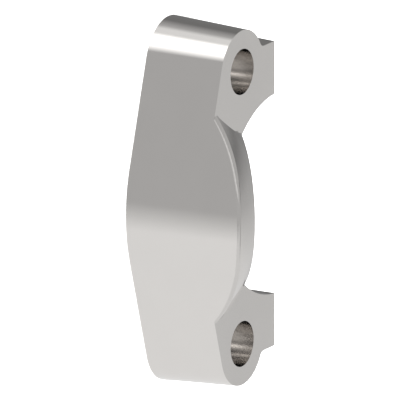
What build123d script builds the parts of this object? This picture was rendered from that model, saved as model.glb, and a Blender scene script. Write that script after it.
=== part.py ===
from build123d import *
import os
from math import acos, atan2, cos, hypot, radians, sin, sqrt, tan

# Split flange half for a 1 in (DN25) hydraulic flange connection.
# One forged steel piece. Two of them close round the collar of a flange head
# and are pulled down on the port by four bolts, two through each half.
#
# Frame: the origin is where the axis of the connection meets the clamping
# face. +Z is the direction of the bolts, from the port to the hose.
# +X points away from the split, through the middle of the half.
# Y runs along the line of the two bolts. All sizes in millimetres.

# ---- driving dimensions -------------------------------------------------
bolt_spacing = 52.4        # between the two bolts of this half, along Y
bolt_line_x = 13.1         # from the connection's axis to the bolt line
bolt_hole_d = 8.7          # plain through holes
lug_r = 8.8                # round end of each lug, at the base
outer_r = 29.2             # round back, at the base, about the connection's axis
draft = 3.1                # degrees, forging draft of all the outer walls
lug_h = 15.7               # height of the lugs' flat top
split_x = 0.85             # this half stops short of the connection's centre plane
tab_half_y = 30.25         # flat sides beside the split, at the base
tab_corner_r = 0.6         # inside corner between tab side and lug, at the base

neck_bore_d = 38.5         # clears the neck of the flange head
recess_d = 45.3            # seat for the collar of the flange head
recess_depth = 7.5

# raised back: a dome that is part of a ball
dome_x = 27.5
dome_z = -6.6
dome_r = 30.3
dome_edge_r = 0.72         # rounded edge along the top of the back
dome_inner_r = 21.1        # the raised back's inner wall, about the connection's axis

# the dome is cleared round each bolt head
seat_r = 11.35
seat_root_r = 0.3

# ---- derived ------------------------------------------------------------
bolt_y = bolt_spacing / 2
blank_h = 26.0
# the straight flank touches the back arc and the lug arc
reach = hypot(bolt_line_x, bolt_y)
flank = atan2(bolt_y, bolt_line_x) - acos((outer_r - lug_r) / reach)
nx, ny = cos(flank), sin(flank)
back_pt = (outer_r * nx, -outer_r * ny)
lug_pt = (bolt_line_x + lug_r * nx, -bolt_y - lug_r * ny)
lug_far = (bolt_line_x, -bolt_y - lug_r)
lug_in = (bolt_line_x - sqrt(lug_r**2 - (tab_half_y - bolt_y) ** 2), -tab_half_y)
# angles of the points half way round each part of a lug's arc
outer_mid = (flank + radians(90)) / 2
inner_mid = (atan2(tab_half_y - bolt_y, lug_in[0] - bolt_line_x) + radians(90)) / 2
past_split = -6.0


# ---- blank: the whole outline with its draft ----------------------------
with BuildPart() as blank:
    with BuildSketch(Plane.XY) as outline:
        with BuildLine() as edge:
            # one side of the outline, then its mirror image
            tab_side = Line((past_split, -tab_half_y), lug_in)
            lug_arc_in = ThreePointArc(
                lug_in,
                (
                    bolt_line_x + lug_r * cos(inner_mid),
                    -bolt_y - lug_r * sin(inner_mid),
                ),
                lug_far,
            )
            lug_arc_out = ThreePointArc(
                lug_far,
                (
                    bolt_line_x + lug_r * cos(outer_mid),
                    -bolt_y - lug_r * sin(outer_mid),
                ),
                lug_pt,
            )
            flank_side = Line(lug_pt, back_pt)
            back = ThreePointArc(back_pt, (outer_r, 0), (back_pt[0], -back_pt[1]))
            for piece in (flank_side, lug_arc_out, lug_arc_in, tab_side):
                mirror(piece, about=Plane.XZ)
            closing = Line((past_split, tab_half_y), (past_split, -tab_half_y))
        make_face()
        # the inside corners where the tab sides run into the lugs
        inside = outline.vertices().filter_by(
            lambda v: abs(v.X - lug_in[0]) < 0.01
        )
        fillet(inside, radius=tab_corner_r)
    extrude(amount=blank_h, taper=draft)

# ---- raised back --------------------------------------------------------
with BuildPart() as raised:
    add(blank.part)
    with Locations((dome_x, 0, dome_z)):
        Sphere(radius=dome_r, mode=Mode.INTERSECT)
    split(bisect_by=Plane.XY.offset(lug_h - 3), keep=Keep.TOP)
    # its outer top edge follows the flanks and the back
    rim = [
        e
        for e in raised.edges()
        if e.center().X > 17
        and e.geom_type != GeomType.LINE
        and e.bounding_box().size.Z > 0.5
        and hypot(e.center().X, e.center().Y) > 24
    ]
    print("rim edges found:", len(rim))
    fillet(rim, radius=dome_edge_r)
    split(bisect_by=Plane.XY.offset(lug_h), keep=Keep.TOP)
    with Locations((0, 0, lug_h)):
        Cylinder(
            radius=dome_inner_r,
            height=20,
            align=(Align.CENTER, Align.CENTER, Align.MIN),
            mode=Mode.SUBTRACT,
        )

# room for a bolt head and its washer, with a rounded root
with BuildPart() as seat_clearance:
    Cylinder(
        radius=seat_r, height=20, align=(Align.CENTER, Align.CENTER, Align.MIN)
    )
    fillet(seat_clearance.edges().sort_by(Axis.Z)[0], radius=seat_root_r)

# ---- the finished half --------------------------------------------------
with BuildPart() as flange_half:
    add(blank.part)
    split(bisect_by=Plane.XY.offset(lug_h), keep=Keep.BOTTOM)
    add(raised.part)
    with Locations((bolt_line_x, bolt_y, lug_h), (bolt_line_x, -bolt_y, lug_h)):
        add(seat_clearance.part, mode=Mode.SUBTRACT)
    split(bisect_by=Plane.YZ.offset(split_x), keep=Keep.TOP)
    # neck bore, open right through
    with Locations((0, 0, 0)):
        Cylinder(
            radius=neck_bore_d / 2,
            height=60,
            mode=Mode.SUBTRACT,
        )
        # recess for the collar, from the clamping face
        Cylinder(
            radius=recess_d / 2,
            height=recess_depth,
            align=(Align.CENTER, Align.CENTER, Align.MIN),
            mode=Mode.SUBTRACT,
        )
    # bolt holes
    with Locations((bolt_line_x, bolt_y, lug_h), (bolt_line_x, -bolt_y, lug_h)):
        Hole(radius=bolt_hole_d / 2, depth=lug_h)

flange_half.part.label = "flange_half"

os.makedirs("parts", exist_ok=True)
export_step(flange_half.part, "parts/flange_half.step")

bb = flange_half.part.bounding_box()
print("size", round(bb.size.X, 2), round(bb.size.Y, 2), round(bb.size.Z, 2))
print("volume mm3", round(flange_half.part.volume, 1), "solids", len(flange_half.solids()))
print("steel mass kg", round(flange_half.part.volume * 7.85e-6, 4))
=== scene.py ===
import bpy
import math
from mathutils import Matrix, Vector

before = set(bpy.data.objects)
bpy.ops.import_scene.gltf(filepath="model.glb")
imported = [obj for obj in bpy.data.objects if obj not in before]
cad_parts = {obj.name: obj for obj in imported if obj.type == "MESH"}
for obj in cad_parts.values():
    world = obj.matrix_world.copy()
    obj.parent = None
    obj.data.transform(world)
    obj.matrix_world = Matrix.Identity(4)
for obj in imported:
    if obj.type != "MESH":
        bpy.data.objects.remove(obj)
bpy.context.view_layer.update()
scene = bpy.context.scene
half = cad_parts["flange_half"]

# ---------------------------------------------------------------- camera
# A long lens, looking down on the part as it lies on its clamping face. The
# bolt line stands upright in the picture.
right = Vector((-0.495763, 0.000809, 0.868458)).normalized()
toward = Vector((0.839094, -0.257392, 0.479240))
toward = (toward - right * toward.dot(right)).normalized()
up = toward.cross(right)
camera_data = bpy.data.cameras.new("camera")
camera_data.type = "PERSP"
camera_data.sensor_width = 36.0
camera_data.lens = 1592.05
camera_data.clip_start = 0.5
camera_data.clip_end = 8.0
camera = bpy.data.objects.new("camera", camera_data)
scene.collection.objects.link(camera)
place = right * -0.0007016 + up * -0.0034118 + toward * 3.311
turn = Matrix((right, up, toward)).transposed().to_4x4()
camera.matrix_world = Matrix.Translation(place) @ turn
scene.camera = camera

# ---------------------------------------------------------------- node help


def tree_of(material):
    material.use_nodes = True
    tree = material.node_tree
    tree.nodes.clear()
    return tree


def add(tree, kind, **settings):
    node = tree.nodes.new(kind)
    for name, value in settings.items():
        setattr(node, name, value)
    return node


def put(tree, node, slot, value):
    if isinstance(value, (int, float)):
        node.inputs[slot].default_value = value
    elif isinstance(value, tuple):
        node.inputs[slot].default_value = value
    else:
        tree.links.new(value, node.inputs[slot])


def math_node(tree, operation, *values, clamp=False):
    node = add(tree, "ShaderNodeMath", operation=operation, use_clamp=clamp)
    for slot, value in enumerate(values):
        put(tree, node, slot, value)
    return node.outputs[0]


def step_node(tree, value, low, high, a=0.0, b=1.0):
    """A soft step from a to b while value goes from low to high."""
    node = add(tree, "ShaderNodeMapRange", interpolation_type="SMOOTHSTEP")
    put(tree, node, "Value", value)
    put(tree, node, "From Min", low)
    put(tree, node, "From Max", high)
    put(tree, node, "To Min", a)
    put(tree, node, "To Max", b)
    return node.outputs["Result"]


def mix_colour(tree, factor, a, b):
    node = add(tree, "ShaderNodeMix", data_type="RGBA")
    put(tree, node, 0, factor)
    put(tree, node, 6, a)
    put(tree, node, 7, b)
    return node.outputs[2]


def ramp(tree, factor, stops, interpolation="LINEAR"):
    node = add(tree, "ShaderNodeValToRGB")
    node.color_ramp.interpolation = interpolation
    elements = node.color_ramp.elements
    while len(elements) > 1:
        elements.remove(elements[-1])
    for i, (place_, colour) in enumerate(stops):
        e = elements[0] if i == 0 else elements.new(place_)
        e.position = place_
        e.color = (colour[0], colour[1], colour[2], 1.0)
    tree.links.new(factor, node.inputs[0])
    return node.outputs[0]


STEEL = (0.735, 0.715, 0.695)
STRIP = 2.4                  # the strip light, brighter than paper white
PALE = 0.9
SOFT = 0.75
MID = 0.5
DARK = 0.2
PEAK = 4.0
DRILLED = 0.125              # roughness of the drilled walls
DRILLED_TONE = 0.97

# ---------------------------------------------------------------- studio
# What the bare steel mirrors. A ring of soft cards stands round the part, the
# lower ring seen by its upright walls and the upper one by the faces that look
# up: pale to one side, darker to the other, with a strip light between them.
world = bpy.data.worlds.new("studio")
scene.world = world
world.use_nodes = True
wt = world.node_tree
wt.nodes.clear()
coords = add(wt, "ShaderNodeTexCoord")
split = add(wt, "ShaderNodeSeparateXYZ")
wt.links.new(coords.outputs["Generated"], split.inputs[0])
angle = math_node(wt, "ARCTAN2", split.outputs["Y"], split.outputs["X"])
height = split.outputs["Z"]

# The cards: bearing in degrees from +X towards +Y, and a plain tone. Each
# fades softly into the next, and both rings close at bearing 90.
LOWER = [
    (90, PALE), (145, PALE), (180, DARK), (225, DARK), (250, MID), (260, PALE),
    (275, PALE), (290, STRIP), (300, STRIP), (325, MID), (365, MID), (385, PALE),
    (450, PALE),
]
UPPER = [
    (90, SOFT), (155, SOFT), (170, MID), (185, DARK), (200, MID), (315, MID),
    (325, PALE), (340, MID), (370, MID), (390, SOFT), (450, SOFT),
]


def card(tone):
    return (tone / PEAK, tone / PEAK, tone / PEAK)


def ring(stops, where):
    return ramp(wt, where, [((bearing - 90) / 360.0, card(tone)) for bearing, tone in stops])


turned = math_node(wt, "FRACT", math_node(wt, "MULTIPLY_ADD", angle, 0.5 / math.pi, 0.75))
# the dark card opposite leans over, more so near the ground
lean_in = step_node(wt, turned, (170 - 90) / 360.0, (177 - 90) / 360.0)
lean_out = step_node(wt, turned, (200 - 90) / 360.0, (215 - 90) / 360.0, 1.0, 0.0)
above = math_node(wt, "MINIMUM", math_node(wt, "MAXIMUM", height, 0.0), 0.28)
below = math_node(wt, "MAXIMUM", math_node(wt, "MINIMUM", height, 0.0), -0.2)
lean = math_node(wt, "MULTIPLY", above, -0.2 * 57.3 / 360.0)
lean = math_node(wt, "MULTIPLY_ADD", below, -0.5 * 57.3 / 360.0, lean)
lean = math_node(wt, "MULTIPLY", lean, math_node(wt, "MULTIPLY", lean_in, lean_out))
leaning = math_node(wt, "ADD", turned, lean)
low_or_high = step_node(wt, height, math.sin(math.radians(-14)), math.sin(math.radians(2)))
overhead = step_node(wt, height, math.sin(math.radians(45)), math.sin(math.radians(75)))
cards = mix_colour(wt, low_or_high, ring(LOWER, turned), ring(UPPER, leaning))
cards = mix_colour(wt, overhead, cards, card(MID) + (1.0,))
mirror_light = add(wt, "ShaderNodeBackground")
mirror_light.inputs["Strength"].default_value = PEAK
wt.links.new(cards, mirror_light.inputs["Color"])
soft_light = add(wt, "ShaderNodeBackground")
soft_light.inputs["Color"].default_value = (1.0, 1.0, 1.0, 1.0)
soft_light.inputs["Strength"].default_value = 2.6
path = add(wt, "ShaderNodeLightPath")
pick = add(wt, "ShaderNodeMixShader")
wt.links.new(path.outputs["Is Glossy Ray"], pick.inputs[0])
wt.links.new(soft_light.outputs[0], pick.inputs[1])
wt.links.new(mirror_light.outputs[0], pick.inputs[2])
world_out = add(wt, "ShaderNodeOutputWorld")
wt.links.new(pick.outputs[0], world_out.inputs["Surface"])

# plain pale floor
bpy.ops.mesh.primitive_circle_add(vertices=128, radius=3.0, fill_type="NGON", location=(0, 0, -0.00002))
floor = bpy.context.object
floor.name = "floor"
floor_mat = bpy.data.materials.new("floor")
ft = tree_of(floor_mat)
floor_bsdf = add(ft, "ShaderNodeBsdfDiffuse")
floor_bsdf.inputs["Color"].default_value = (0.93, 0.93, 0.93, 1.0)
floor_out = add(ft, "ShaderNodeOutputMaterial")
ft.links.new(floor_bsdf.outputs[0], floor_out.inputs["Surface"])
floor.data.materials.append(floor_mat)
floor.visible_glossy = False

# ---------------------------------------------------------------- steel
# Satin bare steel: a fine even grain from the finishing, duller walls where
# the bolt holes are drilled and a little handling haze.
steel = bpy.data.materials.new("bare_steel")
st = tree_of(steel)
bsdf = add(st, "ShaderNodeBsdfPrincipled")
bsdf.inputs["Metallic"].default_value = 1.0
pos = add(st, "ShaderNodeTexCoord").outputs["Object"]


def noise(scale, detail=4.0, rough=0.55, vector=None):
    node = add(st, "ShaderNodeTexNoise")
    put(st, node, "Vector", pos if vector is None else vector)
    put(st, node, "Scale", scale)
    put(st, node, "Detail", detail)
    put(st, node, "Roughness", rough)
    return node.outputs["Fac"]


haze = noise(90.0, 5.0, 0.6)
grain = noise(9000.0, 3.0, 0.6)
rough_haze = step_node(st, haze, 0.35, 0.70, 0.075, 0.105)
rough_all = math_node(st, "MULTIPLY_ADD", grain, 0.02, rough_haze)
# how far from the nearer bolt's axis, in metres
place_in = add(st, "ShaderNodeSeparateXYZ")
st.links.new(pos, place_in.inputs[0])
off_x = math_node(st, "SUBTRACT", place_in.outputs["X"], 0.0131)
off_y = math_node(st, "SUBTRACT", math_node(st, "ABSOLUTE", place_in.outputs["Y"]), 0.0262)
off_axis = math_node(
    st, "SQRT",
    math_node(st, "ADD", math_node(st, "MULTIPLY", off_x, off_x), math_node(st, "MULTIPLY", off_y, off_y)),
)
drilled = step_node(st, off_axis, 0.00438, 0.00445, 1.0, 0.0)
rough_drilled = math_node(st, "MULTIPLY_ADD", grain, 0.03, DRILLED)
rough_mix = add(st, "ShaderNodeMix", data_type="FLOAT")
put(st, rough_mix, 0, drilled)
put(st, rough_mix, 2, rough_all)
put(st, rough_mix, 3, rough_drilled)
st.links.new(rough_mix.outputs[0], bsdf.inputs["Roughness"])
tone = step_node(st, noise(160.0, 6.0, 0.6), 0.3, 0.7)
colour = mix_colour(
    st,
    tone,
    tuple(c * 0.993 for c in STEEL) + (1.0,),
    tuple(c * 1.007 for c in STEEL) + (1.0,),
)
colour = mix_colour(st, drilled, colour, tuple(c * DRILLED_TONE for c in STEEL) + (1.0,))
st.links.new(colour, bsdf.inputs["Base Color"])
bump = add(st, "ShaderNodeBump")
bump.inputs["Strength"].default_value = 0.02
bump.inputs["Distance"].default_value = 0.00002
st.links.new(grain, bump.inputs["Height"])
st.links.new(bump.outputs["Normal"], bsdf.inputs["Normal"])
steel_out = add(st, "ShaderNodeOutputMaterial")
st.links.new(bsdf.outputs[0], steel_out.inputs["Surface"])
for slot in half.material_slots:
    slot.material = steel

# ---------------------------------------------------------------- picture
scene.view_settings.view_transform = "Standard"
scene.view_settings.look = "None"
scene.view_settings.exposure = 0.0
scene.view_settings.gamma = 1.0
scene.cycles.use_denoising = True
scene.cycles.max_bounces = 20
scene.cycles.glossy_bounces = 5
scene.cycles.diffuse_bounces = 3
scene.cycles.blur_glossy = 0.0
scene.cycles.sample_clamp_indirect = 0.0
